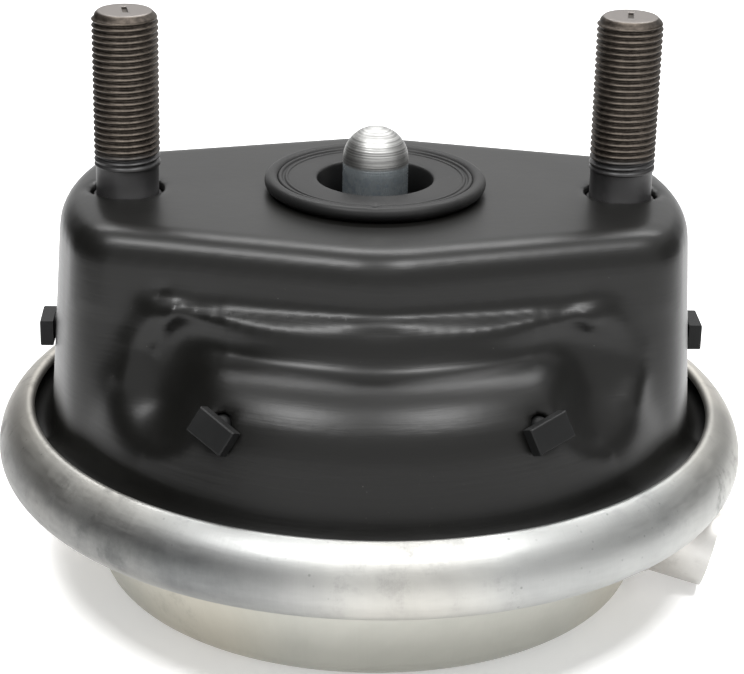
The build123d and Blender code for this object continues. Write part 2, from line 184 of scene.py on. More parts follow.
def housingPaint():
    look = {"black": (0.0050, 0.0049, 0.0044), "dust": (0.060, 0.056, 0.050), "scuff": (0.085, 0.082, 0.078),
            "dustShare": 0.35, "scuffShare": 0.8, "rough": 0.285, "roughMottle": 0.10, "roughDraw": 0.05,
            "roughScuff": 0.2, "peelDepth": 0.00003, "drawDepth": 0.00012}
    p = Paint("housingPaint", roughness=0.34, specular=0.29)
    mottle = p.cloud(28, 5)
    drawLines = p.cloud(9, 6, 0.62, p.stretched(5, 5, 90))
    dusty = p.between(p.cloud(900, 2), 0.70, 0.80) * p.between(mottle, 0.48, 0.62)
    tiny = (1 - p.between(p.specks(420), 0.035, 0.075)) * p.between(p.cloud(45, 3), 0.56, 0.66)
    colour = p.colour(dusty * look["dustShare"], look["black"], look["dust"])
    colour = p.colour(tiny * look["scuffShare"], colour, look["scuff"])
    rough = look["rough"] + mottle * look["roughMottle"] + drawLines * look["roughDraw"] + tiny * look["roughScuff"]
    normal = p.bumps(p.cloud(420, 3, 0.5), look["peelDepth"], 0.5)
    normal = p.bumps(drawLines, look["drawDepth"], 0.35, normal)
    return p.set(Base_Color=colour, Roughness=rough, Normal=normal)


zinc = {"tints": [(0.38, (0.86, 0.89, 0.92)), (0.50, (0.94, 0.92, 0.88)), (0.62, (0.97, 0.91, 0.83))],
        "tintShare": 0.6, "wornShare": 0.65, "pitShare": 0.5, "roughBrush": 0.20, "roughAcross": 0.14,
        "roughWorn": 0.18, "roughPits": 0.1, "brushDepth": 0.00004, "waveDepth": 0.0007, "grainDepth": 0.00006,
        # The last five entries paint a dark reflection onto the ring's front left: its colour, direction, reach,
        # level and height
        "reflectedDark": (0.085, 0.088, 0.090), "reflectionToward": (0.80, 0.60), "reflectionReach": (0.060, 0.088),
        "reflectionLevel": -0.0635, "reflectionHeight": (0.0100, 0.0030)}


def zincPlate(name, bright, dull, stain, polish, brushed, paintedReflection=0):
    # Zinc plate: brushed round the axis, clouded, with stains and faint blue and straw tints.
    # A plate may carry a painted dark reflection, a mottled dark patch on its front left at the level given in zinc.
    p = Paint(name, metallic=1.0, roughness=polish)
    radius = (p.x * p.x + p.y * p.y) ** 0.5
    turn = p.x.calc("ARCTAN2", p.y, p.x)
    grain = p.cloud(1, 6, 0.6, p.vector(turn * brushed[0], radius * brushed[1], p.z * brushed[1]))
    across = p.cloud(1, 5, 0.6, p.vector(turn * brushed[2], radius * 30, p.z * 30))
    mist = p.cloud(16, 5, 0.6, distortion=0.6)
    worn = p.between(p.cloud(75, 6, 0.72), 0.50, 0.68) * p.between(p.cloud(8, 3), 0.42, 0.58)
    pits = (1 - p.between(p.specks(330), 0.05, 0.14)) * p.between(p.cloud(30, 3), 0.50, 0.62)
    colour = p.colour(p.between(mist, 0.35, 0.68), dull, bright)
    colour = p.colour(worn * zinc["wornShare"], colour, stain)
    colour = p.colour(pits * zinc["pitShare"], colour, stain)
    # Painted dark reflection: a mottled dark patch on the front left at a set height, in place of the reflection of
    # dark surroundings
    if paintedReflection:
        toward = zinc["reflectionToward"]
        side = (p.x * toward[0] + p.y * toward[1]) * -1
        rise = p.z - zinc["reflectionLevel"]
        height = rise.calc("ABSOLUTE", rise)
        patch = p.between(side, *zinc["reflectionReach"]) * p.between(height, *zinc["reflectionHeight"])
        mottledReflection = patch * (0.55 + p.cloud(130, 5, 0.7) * 0.6) * paintedReflection
        colour = p.colour(mottledReflection, colour, zinc["reflectedDark"])
    tint = p.node("ValToRGB", {"stops": zinc["tints"]}, {0: p.cloud(11, 2, 0.4)}, 0)
    colour = p.node("Mix", {"data_type": "RGBA", "blend_type": "MULTIPLY"},
                    {0: zinc["tintShare"], 6: colour, 7: tint}, 2)
    rough = polish + (grain - 0.5) * zinc["roughBrush"] + (across - 0.5) * zinc["roughAcross"]
    rough = rough + worn * zinc["roughWorn"] + pits * zinc["roughPits"]
    normal = p.bumps(grain, zinc["brushDepth"], 0.6)
    normal = p.bumps(p.cloud(22, 3), zinc["waveDepth"], 0.14, normal)
    normal = p.bumps(p.cloud(240, 4, 0.6), zinc["grainDepth"], 0.35, normal)
    return p.set(Base_Color=colour, Roughness=rough.clamped(), Normal=normal)


shank = {"blued": (0.30, 0.345, 0.37), "dark": (0.085, 0.115, 0.155), "fleck": (0.42, 0.44, 0.46),
         "bluedShare": 0.8, "darkShare": 0.5, "fleckShare": 0.8, "darkFrom": (0.0062, 0.0030),
         "fleckFrom": (0.0070, 0.0045), "metallic": 0.62, "rough": 0.26, "roughDome": 0.20,
         "roughPatch": 0.16, "roughStreak": 0.16, "latheDepth": 0.00006}


def turnedSteel(name, bright, dark, domeFrom):
    # Turned and plated: bright above domeFrom, a blued and speckled shank below
    p = Paint(name, metallic=1.0, roughness=0.28)
    turned = p.cloud(1, 3, 0.65, p.vector(p.x * 20, p.y * 20, p.z * 2300))
    streaks = p.cloud(1, 4, 0.6, p.vector(p.x * 700, p.y * 700, p.z * 60))
    onDome = p.between(p.z, domeFrom - 0.0004, domeFrom + 0.0006)
    colour = p.colour(p.between(turned, 0.36, 0.64), dark, bright)
    onShank = p.between(p.z, domeFrom + 0.0004, domeFrom - 0.0006)
    colour = p.colour(onShank * shank["bluedShare"], colour, shank["blued"])
    patches = p.between(p.cloud(620, 4, 0.6), 0.48, 0.62) * p.between(p.z, *shank["darkFrom"])
    colour = p.colour(patches * shank["darkShare"], colour, shank["dark"])
    flecks = (1 - p.between(p.specks(950), 0.10, 0.22)) * p.between(p.z, *shank["fleckFrom"])
    flecks = flecks * p.between(p.cloud(250, 3), 0.48, 0.56)
    colour = p.colour(flecks * shank["fleckShare"], colour, shank["fleck"])
    rough = shank["rough"] + onDome * shank["roughDome"] + patches * shank["roughPatch"]
    rough = rough + (streaks - 0.5) * shank["roughStreak"]
    metal = shank["metallic"] + onDome * (1 - shank["metallic"])
    normal = p.bumps(turned * onDome + streaks * 0.3, shank["latheDepth"], 0.8)
    return p.set(Base_Color=colour, Roughness=rough, Metallic=metal, Normal=normal)


coating = {"dark": (0.034, 0.028, 0.023), "brown": (0.072, 0.060, 0.050), "lightCrest": (0.17, 0.145, 0.12),
           "end": (0.20, 0.185, 0.175), "paint": (0.016, 0.016, 0.017), "paintedTo": (0.0026, 0.0048),
           "paintWander": 0.0022, "lightCrestShare": 0.6, "endShare": 0.7, "paintShare": 0.93, "rough": 0.44,
           "roughGrain": 0.14, "roughLightCrest": 0.10, "roughPaint": 0.08, "metallic": 0.85, "metallicPaint": 0.75}


def phosphate(name, threadFrom, topZ):
    # Dark phosphate on the thread, a lighter colour on the crests than in the roots, black paint on neck and first
    # turns
    p = Paint(name, metallic=0.75, roughness=0.5)
    crest = p.node("Attribute", {"attribute_name": "crest"}, {}, "Fac")
    grain = p.cloud(700, 4, 0.6)
    soft = p.cloud(120, 4)
    colour = p.colour(p.between(grain, 0.35, 0.7), coating["dark"], coating["brown"])
    # Lighter colour on the thread crests, the roots left darker
    lightCrest = p.between(crest, 0.72, 0.98) * (0.55 + soft * 0.6)
    colour = p.colour(lightCrest.clamped() * coating["lightCrestShare"], colour, coating["lightCrest"])
    faceTop = p.between(p.z, topZ - 0.0003, topZ - 0.0001)
    colour = p.colour(faceTop * coating["endShare"], colour, coating["end"])
    paintEnd = [threadFrom + reach for reach in coating["paintedTo"]]
    painted = 1 - p.between(p.z + (soft - 0.5) * coating["paintWander"], *paintEnd)
    colour = p.colour(painted * coating["paintShare"], colour, coating["paint"])
    rough = coating["rough"] + grain * coating["roughGrain"] - lightCrest.clamped() * coating["roughLightCrest"]
    rough = rough - painted * coating["roughPaint"]
    metal = coating["metallic"] - painted * coating["metallicPaint"]
    return p.set(Base_Color=colour, Roughness=rough, Metallic=metal, Normal=p.bumps(grain, 0.00003, 0.5))


def rubber(name):
    look = {"black": (0.012, 0.012, 0.012), "bloom": (0.045, 0.044, 0.043), "lint": (0.15, 0.14, 0.13),
            "bloomShare": 0.35, "lintShare": 0.7, "rough": 0.46, "roughBloom": 0.12, "grainDepth": 0.00003}
    p = Paint(name, roughness=0.52, specular=0.22)
    bloom = p.between(p.cloud(55, 5, 0.6), 0.46, 0.70)
    lint = (1 - p.between(p.specks(520), 0.03, 0.07)) * p.between(p.cloud(80, 2), 0.57, 0.66)
    colour = p.colour(bloom * look["bloomShare"], look["black"], look["bloom"])
    colour = p.colour(lint * look["lintShare"], colour, look["lint"])
    rough = look["rough"] + bloom * look["roughBloom"]
    return p.set(Base_Color=colour, Roughness=rough, Normal=p.bumps(p.cloud(900, 3), look["grainDepth"], 0.45))


def mouldedPlastic():
    look = {"black": (0.006, 0.0062, 0.0062), "worn": (0.012, 0.0122, 0.0122), "rough": 0.42,
            "roughGrain": 0.16, "grainDepth": 0.00004}
    p = Paint("capPlastic", roughness=0.5, specular=0.2)
    grain = p.cloud(1500, 2)
    colour = p.colour(p.between(p.cloud(70, 4), 0.4, 0.7) * 0.6, look["black"], look["worn"])
    rough = look["rough"] + grain * look["roughGrain"]
    return p.set(Base_Color=colour, Roughness=rough, Normal=p.bumps(grain, look["grainDepth"], 0.5))


def springWire():
    look = {"dark": (0.05, 0.05, 0.055), "worn": (0.13, 0.13, 0.14), "rough": 0.35, "roughGrain": 0.15,
            "grainDepth": 0.00002}
    p = Paint("springWire", metallic=0.8, roughness=0.42)
    grain = p.cloud(500, 4)
    colour = p.colour(p.between(grain, 0.3, 0.7), look["dark"], look["worn"])
    rough = look["rough"] + grain * look["roughGrain"]
    return p.set(Base_Color=colour, Roughness=rough, Normal=p.bumps(grain, look["grainDepth"], 0.5))


# The ring carries a painted dark reflection on its front left
ringZinc = zincPlate("ringZinc", bright=(0.46, 0.455, 0.435), dull=(0.34, 0.338, 0.325),
                     stain=(0.15, 0.152, 0.150), polish=0.48, brushed=(14, 900, 260), paintedReflection=0.85)
portZinc = zincPlate("portZinc", bright=(0.66, 0.655, 0.645), dull=(0.58, 0.575, 0.57),
                     stain=(0.45, 0.44, 0.43), polish=0.48, brushed=(8, 500, 120))
cupZinc = zincPlate("cupZinc", bright=(0.58, 0.565, 0.51), dull=(0.50, 0.49, 0.44),
                    stain=(0.45, 0.44, 0.40), polish=0.42, brushed=(8, 500, 120))
innerZinc = zincPlate("innerZinc", bright=(0.60, 0.60, 0.57), dull=(0.46, 0.46, 0.44),
                      stain=(0.30, 0.29, 0.26), polish=0.36, brushed=(10, 600, 90))
weldZinc = zincPlate("weldZinc", bright=(0.44, 0.42, 0.37), dull=(0.30, 0.29, 0.26),
                     stain=(0.16, 0.15, 0.13), polish=0.46, brushed=(14, 500, 120))
rodSteel = turnedSteel("rodSteel", bright=(0.43, 0.43, 0.42), dark=(0.22, 0.22, 0.215), domeFrom=0.0072)
blackRubber = rubber("blackRubber")
paintedSteel = housingPaint()
capPlastic = mouldedPlastic()
wire = springWire()
print("finishes made")


def dress(node, material):
    for slotOfNode in nodes[node].material_slots:
        slotOfNode.material = material


for name in nodes:
    if name.startswith("drain_cap"):
        dress(name, capPlastic)
for name in ("spring_seat", "pressure_plate", "rod_socket", "bellows_clip", "stud_plate"):
    dress(name, innerZinc)
for name in ("return_spring", "rod_retainer"):
    dress(name, wire)
for name in ("face_seal", "rod_bellows", "diaphragm"):
    dress(name, blackRubber)
dress("mounting_housing", paintedSteel)
dress("clamp_ring", ringZinc)
dress("pressure_cup", cupZinc)
dress("port_boss", portZinc)
dress("push_rod", rodSteel)


# Mesh helpers

def emptyPiece(name, material):
    mesh = bpy.data.meshes.new(name)
    mesh.materials.append(material)
    piece = bpy.data.objects.new(name, mesh)
    bpy.context.scene.collection.objects.link(piece)
    return piece


def fill(piece, shape, smooth=True):
    # Cleans the bmesh, turns its faces outward and hands it to the piece
    bmesh.ops.remove_doubles(shape, verts=shape.verts, dist=1e-7)
    bmesh.ops.recalc_face_normals(shape, faces=shape.faces)
    for face in shape.faces:
        face.smooth = smooth
    shape.to_mesh(piece.data)
    shape.free()
    return piece


def latheSection(shape, section, steps):
    # Spins a closed or axis-to-axis run of (radius, height) points, given in metres
    made = [shape.verts.new((r, 0, z)) for r, z in section]
    edges = [shape.edges.new(pair) for pair in zip(made, made[1:])]
    bmesh.ops.spin(shape, geom=made + edges, cent=(0, 0, 0), axis=(0, 0, 1), dvec=(0, 0, 0),
                   angle=2 * math.pi, steps=steps, use_merge=True)
    bmesh.ops.remove_doubles(shape, verts=shape.verts, dist=1e-7)


def applyModifiers(piece):
    bpy.context.view_layer.update()
    graph = bpy.context.evaluated_depsgraph_get()
    made = bpy.data.meshes.new_from_object(piece.evaluated_get(graph), preserve_all_data_layers=True,
                                           depsgraph=graph)
    piece.modifiers.clear()
    piece.data = made


def copyOf(node, name, material):
    # The CAD node's mesh in the row frame, its doubles merged
    source = nodes[node]
    piece = emptyPiece(name, material)
    shape = bmesh.new()
    shape.from_mesh(source.data)
    shape.transform(source.matrix_world)
    bmesh.ops.remove_doubles(shape, verts=shape.verts, dist=2e-5)
    for face in shape.faces:
        face.material_index = 0
    fill(piece, shape)
    return piece


def sharpen(piece, degrees):
    # Smooth shading that breaks at edges steeper than this
    shape = bmesh.new()
    shape.from_mesh(piece.data)
    for edge in shape.edges:
        edge.smooth = edge.calc_face_angle(0.0) < math.radians(degrees)
    shape.to_mesh(piece.data)
    shape.free()


def cutAway(piece, cutter):
    # Takes the cutter's volume out of the piece; the cutter goes
    cut = piece.modifiers.new("cut", "BOOLEAN")
    cut.operation = "DIFFERENCE"
    cut.object = cutter
    applyModifiers(piece)
    bpy.data.objects.remove(cutter)


def soften(shape, verts, steps):
    # Each step moves every vertex half way to the middle of its neighbours
    for _ in range(steps):
        bmesh.ops.smooth_vert(shape, verts=verts, factor=0.5, use_axis_x=True, use_axis_y=True, use_axis_z=True)


def standFor(piece, node, body="chamber"):
    # The piece rides on the body and is shown in place of the CAD node
    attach(piece, body)
    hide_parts(node)


def arc(centre, radius, start, end, count):
    # Points of a circular arc in the section plane, angles in degrees
    turns = [math.radians(start + (end - start) * i / count) for i in range(count + 1)]
    return [(centre[0] + radius * math.cos(t), centre[1] + radius * math.sin(t)) for t in turns]


def inMetres(section):
    return [(r * mm, z * mm) for r, z in section]


def clipped(value):
    return min(1.0, max(0.0, value))


def ramp(value, low, high):
    # 0 below low, 1 above high, smooth in between
    t = clipped((value - low) / (high - low))
    return t * t * (3 - 2 * t)


def threadFlank(co, pitch):
    # 0 at the middle of the crest, 1 in the root, for a thread round the Z axis
    turn = math.atan2(co.y, co.x) / (2 * math.pi)
    return abs(2 * ((co.z / pitch - turn) % 1.0) - 1)


# Studs with their rolled thread

stud = {"x": 60.325 * mm, "crest": 8.0 * mm, "pitch": 1.5 * mm, "depth": 0.75 * mm, "neck": 7.62 * mm,
        "neckTop": 6.0 * mm, "top": 44.1 * mm, "point": 1.6 * mm, "shoulder": -1.5 * mm, "press": 8.3 * mm,
        "head": 12.0 * mm, "rowsPerPitch": 9, "sides": 80, "crestShare": 0.14, "flankShare": 0.72,
        "runOutFrom": 0.2 * mm, "runOut": 1.6 * mm, "plainCrest": 0.3, "mark": (1.25 * mm, 5.2 * mm, 0.7 * mm),
        "markTurn": -8}


def studSection(headLow, plateLow):
    # Outline from the middle of the head's underside to the middle of the free end
    s = stud
    head, press, neck, top, edge = s["head"], s["press"], s["neck"], s["top"], s["crest"] - s["point"]
    section = [(0, headLow), (head - 1.6 * mm, headLow), (head - 0.4 * mm, headLow + 0.35 * mm),
               (head, headLow + 1.6 * mm), (head, plateLow - 0.3 * mm), (head - 0.3 * mm, plateLow),
               (press, plateLow), (press, s["shoulder"] - 0.2 * mm), (press - 0.2 * mm, s["shoulder"]),
               (neck + 0.1 * mm, s["shoulder"]), (neck, s["shoulder"] + 0.1 * mm),
               (neck, s["neckTop"] - 0.1 * mm), (neck, s["neckTop"])]
    # Threaded length, where makeStud presses the thread into the rows
    rows = int((top - s["point"] - s["neckTop"]) / s["pitch"] * s["rowsPerPitch"])
    step = (top - s["point"] - s["neckTop"]) / rows
    section += [(s["crest"], s["neckTop"] + step * (i + 1)) for i in range(rows)]
    section += [(s["crest"] - 0.4 * mm, top - s["point"] + 0.4 * mm), (s["crest"] - 0.8 * mm, top - 0.8 * mm),
                (edge + 0.25 * mm, top - 0.22 * mm), (edge, top - 0.05 * mm), (edge - 0.3 * mm, top),
                (edge - 2.2 * mm, top), (2.4 * mm, top), (1.2 * mm, top), (0, top)]
    return section


def makeStud(name, side):
    s = stud
    material = phosphate(name + "Phosphate", s["neckTop"], s["top"])
    piece = emptyPiece(name.replace("_stud", "StudBody"), material)
    edge = s["crest"] - s["point"]
    shape = bmesh.new()
    latheSection(shape, studSection(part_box(name)[0].z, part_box("stud_plate")[0].z), s["sides"])
    crestLayer = shape.verts.layers.float.new("crest")
    for v in shape.verts:
        radius = math.hypot(v.co.x, v.co.y)
        if v.co.z > s["neckTop"] + 1e-6 and radius > edge - 0.4 * mm and v.co.z < s["top"] - 1e-6:
            thread = clipped((threadFlank(v.co, s["pitch"]) - s["crestShare"]) / s["flankShare"])
            runOut = clipped((v.co.z - s["neckTop"] - s["runOutFrom"]) / s["runOut"])
            newRadius = min(radius, s["crest"] - s["depth"] * thread * runOut)
            v.co.x *= newRadius / radius
            v.co.y *= newRadius / radius
            v[crestLayer] = 1 - thread
        else:
            v[crestLayer] = s["plainCrest"]
    bmesh.ops.translate(shape, vec=(side * s["x"], 0, 0), verts=shape.verts)
    fill(piece, shape)
    # Short slot pressed into the free end
    markCutter = emptyPiece(name.replace("_stud", "StudMark"), material)
    cutter = bmesh.new()
    bmesh.ops.create_cube(cutter, size=1.0)
    bmesh.ops.scale(cutter, vec=s["mark"], verts=cutter.verts)
    markTurn = Matrix.Rotation(math.radians(s["markTurn"] * side), 3, "Z")
    bmesh.ops.rotate(cutter, verts=cutter.verts, cent=(0, 0, 0), matrix=markTurn)
    bmesh.ops.translate(cutter, vec=(side * s["x"], 0, s["top"]), verts=cutter.verts)
    fill(markCutter, cutter, smooth=False)
    cutAway(piece, markCutter)
    standFor(piece, name)


makeStud("left_stud", -1)
makeStud("right_stud", 1)
print("studs made")


# Pressed housing: the CAD form rebuilt in fine even faces, its creases drawn soft.
# low, high and level are heights, half is a reach to either side of the middle, vee is in degrees.

skin = {"voxel": 1.25 * mm, "rim": -59.0, "evenSteps": 3, "softSteps": 26, "softFrom": 0.02,
        "softSpots": [(69.0, 36.0, -42.0, 24.0), (43.0, 47.0, -33.0, 13.0)],
        "shelf": {"level": -26.5, "reach": 7.0, "half": 66.0, "steps": 4},
        "step": {"low": -34.0, "high": -9.0, "fromY": 25.0, "half": 62.0, "faceUp": -0.05, "vee": 18.0,
                 "topFade": (12.5, 18.0), "footFade": (21.0, 30.0), "settleBelow": -16.0, "settleSteps": 5},
        "ridge": {"y": 53.4, "vee": 15.2, "nose": 8.0, "z": -16.4, "sink": 0.045, "wide": 2.1, "lift": 1.5,
                  "out": 0.6, "up": 0.8, "fade": (46.0, 60.0)},
        "fill": {"beyond": 0.9, "top": -17.5, "foot": -25.8, "radius": 58.6, "deepest": 8, "share": 0.9,
                 "fade": (26.0, 46.0), "ends": (0.1, 0.9)},
        "foot": {"low": -33.0, "high": -20.5, "half": 54.0, "steps": 14},
        "crown": {"low": -24.0, "high": -10.5, "steps": 1},
        "pocket": {"y": -28.0, "x": (36.0, 72.0), "low": -50.0},
        "creases": [
            {"lift": 1.2, "wide": 2.5,
             "line": [(-48.0, -41.6, -15.5), (-53.2, -39.1, -20.0), (-57.6, -37.5, -26.5), (-59.3, -39.5, -33.0)]},
            {"lift": 0.8, "wide": 1.1,
             "line": [(-46.6, -42.0, -15.4), (-49.7, -40.9, -20.8), (-51.9, -40.3, -26.5)]},
            {"lift": -2.0, "wide": 5.0,
             "line": [(-46.0, -42.5, -22.0), (-47.5, -45.0, -30.0), (-50.0, -46.0, -35.0)]},
            {"lift": -0.5, "wide": 0.9, "line": [(-50.2, -38.1, -12.3), (-51.6, -37.4, -12.8)]},
            {"lift": 0.9, "wide": 2.6,
             "line": [(51.3, -40.3, -16.3), (57.2, -37.1, -22.0), (61.0, -36.3, -27.9), (62.1, -37.7, -33.5),
                      (59.9, -42.1, -37.8)]},
            {"lift": 0.7, "wide": 1.4, "line": [(46.5, -41.8, -16.0), (49.5, -41.0, -19.0)]},
            {"lift": -1.5, "wide": 5.0, "line": [(46.0, -42.5, -22.0), (48.5, -45.0, -31.0)]}]}


def softness(co):
    # 1 in the corner valleys and round the pockets, 0 elsewhere, the same in all four quarters
    most = 0.0
    for x, y, z, reach in skin["softSpots"]:
        away = math.dist((abs(co.x), abs(co.y), co.z), (x * mm, y * mm, z * mm)) / (reach * mm)
        most = max(most, 1 - away * away)
    return most


def ridgeLine(x):
    # How far the ridge stands from the middle plane at this x: a wide vee with a round nose
    r = skin["ridge"]
    return r["y"] - (math.hypot(x, r["nose"]) - r["nose"]) * math.tan(math.radians(r["vee"]))


def widenStep(co):
    # Keeps the step standing out by the same amount as far as the plateau's ends
    step, r = skin["step"], skin["ridge"]
    x, z = abs(co.x) / mm, co.z / mm
    slopes = math.tan(math.radians(step["vee"])) - math.tan(math.radians(r["vee"]))
    push = x * slopes * (1 - ramp(x, *r["fade"])) * ramp(-z, *step["topFade"]) * (1 - ramp(-z, *step["footFade"]))
    return Vector((0, math.copysign(push * mm, co.y), 0))


def ridgeLift(co):
    # The step's upper edge stands up as a soft ridge that fades towards the plateau's ends
    r = skin["ridge"]
    x, y, z = abs(co.x) / mm, abs(co.y) / mm, co.z / mm
    away = math.hypot(y - ridgeLine(x), z - r["z"] + r["sink"] * x) / r["wide"]
    push = r["lift"] * mm * math.exp(-away * away / 2) * (1 - ramp(x, *r["fade"]))
    return Vector((0, math.copysign(r["out"] * push, co.y), r["up"] * push))


def nearestOn(at, a, b):
    share = (at - a).dot(b - a) / (b - a).length_squared
    return a + (b - a) * clipped(share)


def creaseLift(co):
    # Folds and hollows drawn into the pockets, as how far the skin moves along its normal
    total = 0.0
    at = co / mm
    for crease in skin["creases"]:
        line = [Vector(point) for point in crease["line"]]
        nearest = min((at - nearestOn(at, a, b)).length for a, b in zip(line, line[1:]))
        total += crease["lift"] * math.exp(-(nearest / crease["wide"]) ** 2 / 2)
    return total * mm


def fillRoot(co):
    # Below the ridge the wall slopes out to the round shoulder of the bowl
    f = skin["fill"]
    x, y, z = abs(co.x) / mm, abs(co.y) / mm, co.z / mm
    top = (ridgeLine(x) + f["beyond"], f["top"])
    foot = (math.sqrt(max(0.0, f["radius"] ** 2 - x * x)), f["foot"])
    run, drop = foot[0] - top[0], top[1] - foot[1]
    length = math.hypot(run, drop)
    out, up = drop / length, run / length
    depth = -((y - top[0]) * out + (z - top[1]) * up)
    along = ((y - top[0]) * up - (z - top[1]) * out) / length
    if depth <= 0 or depth > f["deepest"] or not 0 < along < 1:
        return Vector()
    ends = ramp(along, 0.0, f["ends"][0]) * (1 - ramp(along, f["ends"][1], 1.0))
    push = depth * f["share"] * ends * (1 - ramp(x, *f["fade"])) * mm
    return Vector((0, math.copysign(push * out, co.y), push * up))


def inBand(v, band):
    return band["low"] * mm < v.co.z < band["high"] * mm


def makeHousing():
    shelf, step, foot, crown, pocket = (skin[k] for k in ("shelf", "step", "foot", "crown", "pocket"))
    piece = copyOf("mounting_housing", "housingSkin", paintedSteel)
    even = piece.modifiers.new("even", "REMESH")
    even.mode = "VOXEL"
    even.voxel_size = skin["voxel"]
    even.use_smooth_shade = True
    applyModifiers(piece)
    shape = bmesh.new()
    shape.from_mesh(piece.data)
    inside = [v for v in shape.verts if v.co.z > skin["rim"] * mm]
    soften(shape, inside, skin["evenSteps"])
    soften(shape, [v for v in inside if softness(v.co) > skin["softFrom"]], skin["softSteps"])
    onShelf = [v for v in inside if abs(v.co.z / mm - shelf["level"]) < shelf["reach"]
               and abs(v.co.x) < shelf["half"] * mm]
    soften(shape, onShelf, shelf["steps"])
    sides = [v for v in inside if inBand(v, step) and abs(v.co.y) > step["fromY"] * mm
             and abs(v.co.x) < step["half"] * mm]
    shape.normal_update()
    outer = [v for v in sides if v.normal.y * v.co.y > 0 and v.normal.z > step["faceUp"]]
    for v in sides:
        v.co += widenStep(v.co)
    for v in outer:
        v.co += fillRoot(v.co)
    soften(shape, [v for v in outer if v.co.z < step["settleBelow"] * mm], step["settleSteps"])
    soften(shape, [v for v in outer if inBand(v, foot) and abs(v.co.x) < foot["half"] * mm], foot["steps"])
    for v in outer:
        v.co += ridgeLift(v.co)
    soften(shape, [v for v in outer if inBand(v, crown)], crown["steps"])
    shape.normal_update()
    inPocket = [v for v in inside if v.co.y < pocket["y"] * mm and v.co.z > pocket["low"] * mm
                and pocket["x"][0] * mm < abs(v.co.x) < pocket["x"][1] * mm and v.normal.dot(v.co) > 0]
    for v in inPocket:
        v.co += v.normal * creaseLift(v.co)
    fill(piece, shape)
    standFor(piece, "mounting_housing")


makeHousing()
print("housing made")


# Rolled clamp ring

ring = {"radius": 93.3, "level": -64.5, "crown": 12.3, "belly": 7.2, "sheet": 2.8, "lip": 64.5, "tuck": -91.0,
        "steps": 288}


def makeRing():
    r = ring
    crownAt, bellyAt = (r["radius"] - r["crown"], r["level"]), (r["radius"] - r["belly"], r["level"])
    crownIn, bellyIn, half = r["crown"] - r["sheet"], r["belly"] - r["sheet"], r["sheet"] / 2
    lip, tuck = r["lip"], r["tuck"]
    lipAt = arc(crownAt, crownIn + half, lip, lip, 1)[0]
    tuckAt = arc(bellyAt, bellyIn + half, tuck, tuck, 1)[0]
    section = arc(bellyAt, r["belly"], tuck, 0, 26) + arc(crownAt, r["crown"], 0, lip, 30)[1:]
    section += arc(lipAt, half, lip, lip + 180, 10)[1:-1]
    section += arc(crownAt, crownIn, lip, 0, 20) + arc(bellyAt, bellyIn, 0, tuck, 18)[1:]
    section += arc(tuckAt, half, tuck - 180, tuck, 10)[1:-1]
    piece = emptyPiece("ringBand", ringZinc)
    shape = bmesh.new()
    latheSection(shape, inMetres(section + section[:1]), r["steps"])
    fill(piece, shape)
    standFor(piece, "clamp_ring")


makeRing()
print("ring made")


# Face seal: outer bead, groove, thin inner bead, flat flange and the neck below

seal = {"outer": 27.05, "bead": 1.7, "beadLevel": 2.2, "bore": 14.17, "neck": 17.67, "snap": 20.27,
        "snapTop": -8.4, "snapEdge": [(20.07, -9.55), (20.27, -9.3)], "snapFoot": -10.4, "tail": -15.0, "steps": 220,
        "heel": [(24.4, 0.0), (25.6, 0.18)], "valley": [(23.95, 2.2)], "thinBead": ((23.25, 2.9), 0.55),
        "step": [(22.45, 2.82), (22.2, 2.84)], "faceBead": ((21.7, 2.8), 0.42),
        "face": [(21.0, 3.02), (19.0, 3.12), (16.0, 3.2), (15.0, 3.17), (14.55, 3.05), (14.27, 2.8), (14.17, 2.4)],
        "boreLevels": (1.0, -2.0, -6.0, -10.0),
        "flowMark": {"at": (-0.8, -23.3), "size": (0.9, 2.2), "deep": 0.45, "above": 2.2}}


def makeSeal():
    s = seal
    section = [(s["bore"], s["tail"]), (s["neck"], s["tail"]), (s["neck"], s["snapFoot"])] + s["snapEdge"]
    section += [(s["snap"], s["snapTop"] - 0.05), (s["neck"], s["snapTop"]), (s["neck"], 0.0)] + s["heel"]
    section += arc((s["outer"] - s["bead"], s["beadLevel"]), s["bead"], -62, 170, 26)
    section += s["valley"] + arc(*s["thinBead"], 15, 165, 8)
    section += s["step"] + arc(*s["faceBead"], 20, 160, 6)
    section += s["face"] + [(s["bore"], z) for z in s["boreLevels"]]
    piece = emptyPiece("sealBody", blackRubber)
    shape = bmesh.new()
    latheSection(shape, inMetres(section + section[:1]), s["steps"])
    # Flow mark of the mould at the front of the flange
    mark = s["flowMark"]
    for v in shape.verts:
        away = math.hypot((v.co.x - mark["at"][0] * mm) / (mark["size"][0] * mm),
                          (v.co.y - mark["at"][1] * mm) / (mark["size"][1] * mm))
        if v.co.z > mark["above"] * mm:
            v.co.z -= mark["deep"] * mm * math.exp(-away * away)
    fill(piece, shape)
    sharpen(piece, 50)
    standFor(piece, "face_seal")


makeSeal()


# Push rod with lathe rings on its domed end

rod = {"r": 8.0, "tip": 15.9, "ballAt": -78.0, "ball": 9.0, "neck": 6.4, "cone": -68.5, "coneEnd": (1.95, 2.1),
       "levels": (-50, -30, -15, -6, 0, 2), "ringDepth": 0.036, "ringPitch": 0.62, "shankRings": 2.6,
       "shankRows": 34, "domeRows": 168, "domeTo": 89.6, "fadeAlong": 1.5, "fadeRadius": 1.2, "steps": 160}


